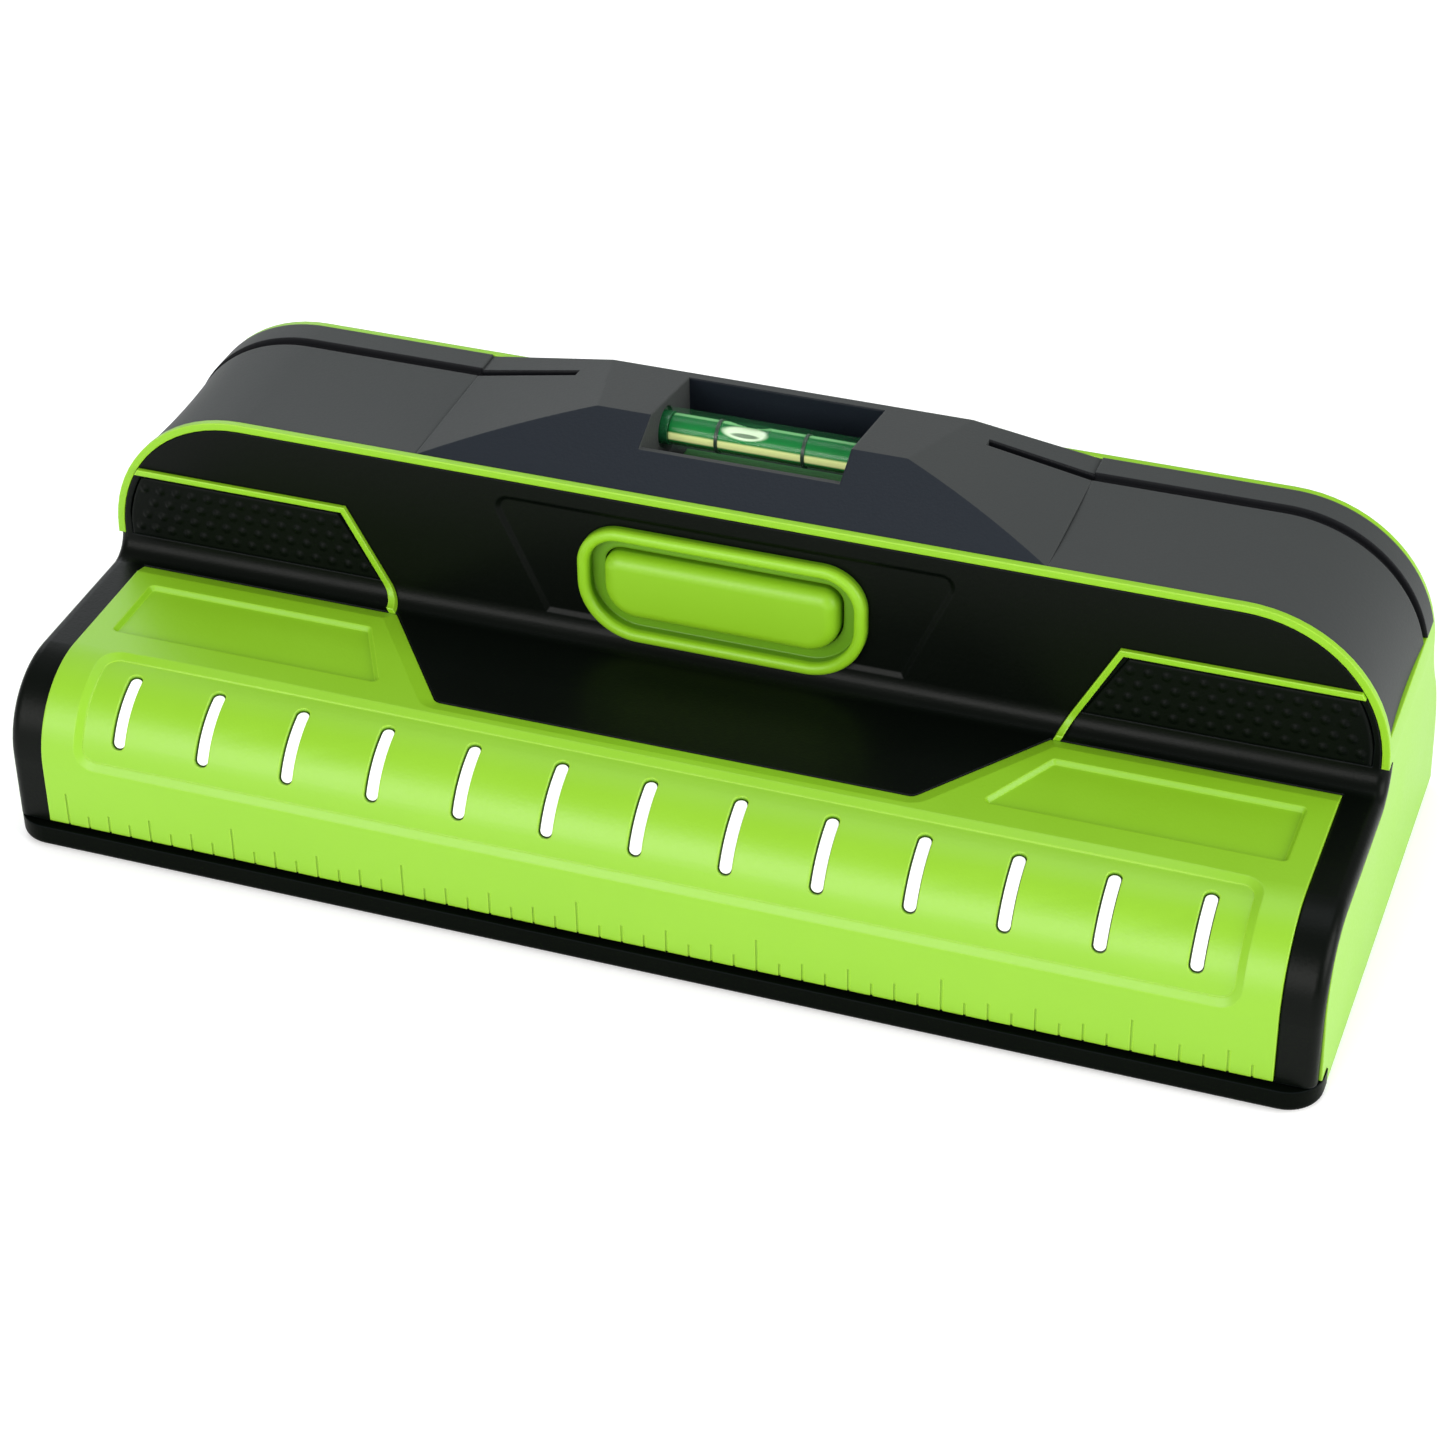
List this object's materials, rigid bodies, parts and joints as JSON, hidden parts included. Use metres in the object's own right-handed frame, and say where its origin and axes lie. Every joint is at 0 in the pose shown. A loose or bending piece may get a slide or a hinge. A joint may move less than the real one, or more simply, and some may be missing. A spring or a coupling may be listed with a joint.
{
  "type": "stud finder",
  "caption": "Wide hand-held stud finder with a ruler edge, a row of light slots, a grip with a built-in bubble level, a power button and a slide-off battery door.",
  "frame": {"origin": "centre of the footprint, on the flat underside that slides on the wall", "axes": "+X along the ruler edge, -Y towards the ruler edge, +Z away from the wall face, towards the level"},
  "size_m": [0.186, 0.077, 0.0554],
  "materials": {
    "battery_wrap": "plastic wrap on steel cell",
    "black_plastic": "satin moulded plastic, black",
    "circuit_board": "solder mask on glass laminate",
    "component_black": "moulded component body",
    "contact_nickel": "nickel plated spring steel",
    "copper": "bare copper",
    "green_plastic": "satin moulded plastic, lime green",
    "lamp_white": "lamp body with clear lens",
    "light_pipe": "frosted white light guide",
    "pad_rubber": "textured rubber, black",
    "ring_black": "black marking ring",
    "screw_steel": "zinc plated steel",
    "soft_grip": "matt soft-touch overmould, dark grey",
    "tray_plastic": "moulded plastic, dark grey",
    "vial_clear": "clear acrylic",
    "vial_green": "green liquid",
    "white_plastic": "white plastic"
  },
  "bodies": {
    "housing": {"base_plate": "black_plastic", "base_screws": "screw_steel", "battery_contact_minus": "contact_nickel", "battery_contact_plus": "contact_nickel", "battery_front": "battery_wrap", "battery_link": "contact_nickel", "battery_rear": "battery_wrap", "battery_tray": "tray_plastic", "board_chips": "component_black", "board_screws": "screw_steel", "button_bezel": "green_plastic", "buzzer": "component_black", "front_panel": "black_plastic", "grip_band_left": "soft_grip", "grip_band_right": "soft_grip", "grip_pad_left": "pad_rubber", "grip_pad_right": "pad_rubber", "housing_shell": "green_plastic", "indicator_board": "circuit_board", "indicator_leds": "lamp_white", "level_block": "black_plastic", "light_pipe_01": "light_pipe", "light_pipe_02": "light_pipe", "light_pipe_03": "light_pipe", "light_pipe_04": "light_pipe", "light_pipe_05": "light_pipe", "light_pipe_06": "light_pipe", "light_pipe_07": "light_pipe", "light_pipe_08": "light_pipe", "light_pipe_09": "light_pipe", "light_pipe_10": "light_pipe", "light_pipe_11": "light_pipe", "light_pipe_12": "light_pipe", "light_pipe_13": "light_pipe", "microcontroller": "component_black", "pad_trim_left": "green_plastic", "pad_trim_right": "green_plastic", "ruler_plate": "green_plastic", "sensor_board": "circuit_board", "sensor_pads": "copper", "switch_board": "circuit_board", "switch_body": "component_black", "switch_screws": "screw_steel", "vial_backing": "white_plastic", "vial_liquid": "vial_green", "vial_plug_left": "white_plastic", "vial_plug_right": "white_plastic", "vial_ring_left": "ring_black", "vial_ring_right": "ring_black", "vial_tube": "vial_clear"},
    "button": {"power_button": "green_plastic", "switch_plunger": "white_plastic"},
    "door": {"battery_door": "black_plastic"}
  },
  "joints": [
    {"name": "button_press", "type": "slide", "parent": "housing", "child": "button", "axis": [0, 1, 0], "range_m": [0, 0.001], "stiffness_N_per_m": 800, "springref_m": -0.0005},
    {"name": "door_slide", "type": "slide", "parent": "housing", "child": "door", "axis": [0, 1, 0], "range_m": [0, 0.046]}
  ]
}
